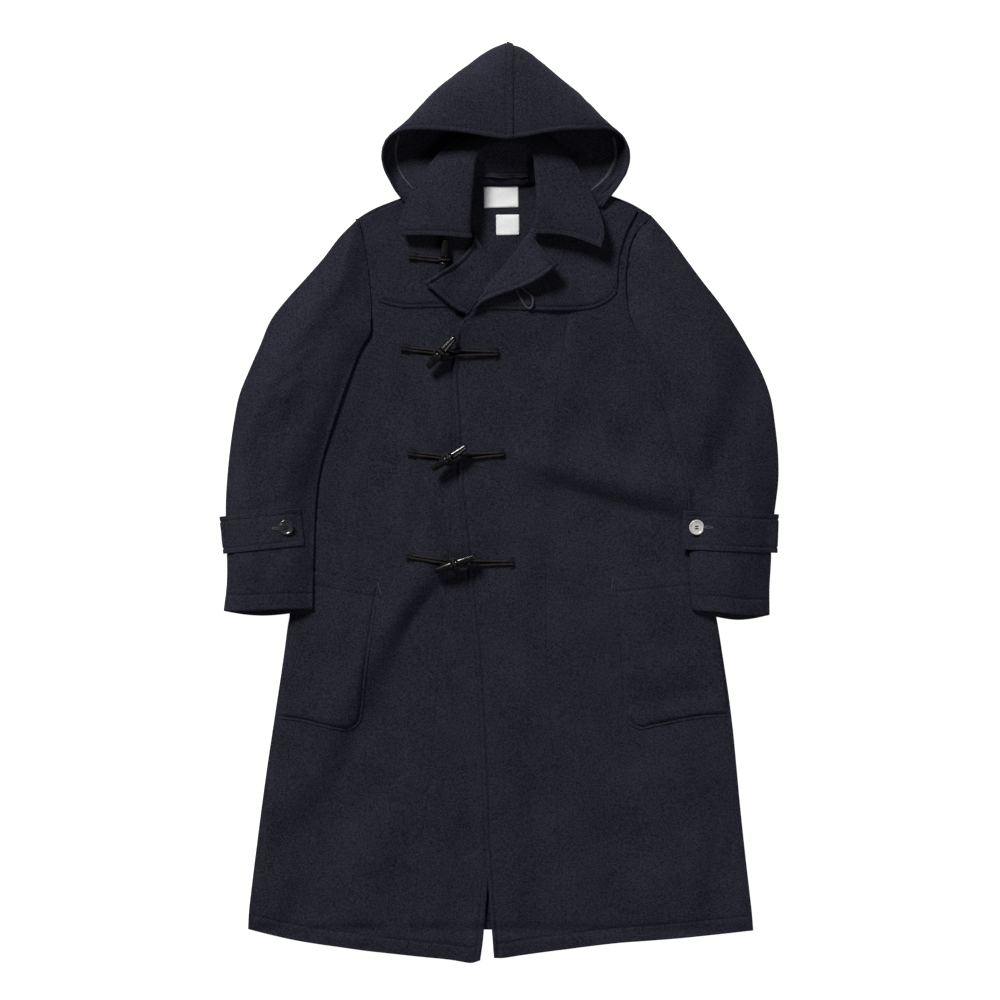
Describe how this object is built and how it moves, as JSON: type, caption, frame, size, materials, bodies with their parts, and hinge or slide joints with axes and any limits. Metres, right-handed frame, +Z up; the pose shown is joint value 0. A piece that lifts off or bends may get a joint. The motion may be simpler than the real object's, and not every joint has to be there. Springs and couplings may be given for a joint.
{
  "type": "duffle coat",
  "caption": "Hooded duffle coat in heavy navy wool, laid flat on its back with toggle fastenings, wide collar and lapels, cuff straps and patch pockets.",
  "frame": {"origin": "middle of the coat's bounding box in plan, on the surface that the coat lies on", "axes": "+Z up out of the surface, towards the coat's front; +Y from the hem to the hood; +X towards the wearer's left sleeve"},
  "size_m": [0.8236, 1.3499, 0.0654],
  "materials": {
    "wool": "heavy melton wool, very dark navy, felted nap",
    "horn": "dark horn, polished",
    "cord": "black braided cord",
    "button_dark": "dark polished four-hole button",
    "button_light": "grey polished four-hole button",
    "label": "white woven label, bare",
    "tape": "dark woven tape"
  },
  "bodies": {
    "root": {"back": "wool", "right_front_side": "wool", "right_front_centre": "wool", "left_front_side": "wool", "left_front_centre": "wool", "right_yoke": "wool", "left_yoke": "wool", "right_lapel": "wool", "left_lapel": "wool", "right_pocket": "wool", "left_pocket": "wool", "right_hood": "wool", "left_hood": "wool", "collar": "wool", "right_sleeve_upper": "wool", "right_sleeve_under": "wool", "left_sleeve_upper": "wool", "left_sleeve_under": "wool", "right_cuff_strap": "wool", "left_cuff_strap": "wool", "toggle_0": "horn", "toggle_1": "horn", "toggle_2": "horn", "toggle_3": "horn", "toggle_cord_0": "cord", "toggle_cord_1": "cord", "toggle_cord_2": "cord", "toggle_cord_3": "cord", "loop_0": "cord", "loop_1": "cord", "loop_2": "cord", "loop_3": "cord", "right_cuff_button": "button_dark", "left_cuff_button": "button_light", "size_label": "label", "care_label": "label", "hanger_loop": "tape"}
  },
  "joints": []
}
